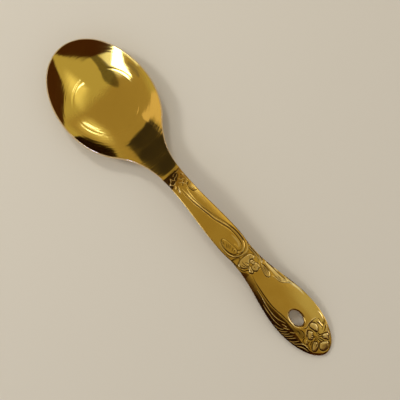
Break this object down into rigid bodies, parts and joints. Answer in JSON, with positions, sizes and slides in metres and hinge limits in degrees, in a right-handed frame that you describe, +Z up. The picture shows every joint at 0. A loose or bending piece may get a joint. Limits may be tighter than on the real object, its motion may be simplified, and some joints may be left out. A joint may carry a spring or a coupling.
{
  "type": "rice serving spoon",
  "caption": "Gold-coloured serving spoon with a wide oval bowl, an arched shank and a broad ornamented grip with an oval hanging hole.",
  "frame": {"origin": "under the middle of the spoon's bounding box, on the surface that it lies on", "axes": "+X along the spoon from the bowl to the tip of the grip, +Z up out of the bowl's mouth, +Y to the left of someone who looks along +X"},
  "size_m": [0.2348, 0.057, 0.0202],
  "materials": {
    "gold_polished": "polished",
    "gold_satin": "satin"
  },
  "bodies": {
    "root": {"bowl": "gold_polished", "neck": "gold_polished", "stem": "gold_satin", "grip": "gold_satin"}
  },
  "joints": []
}
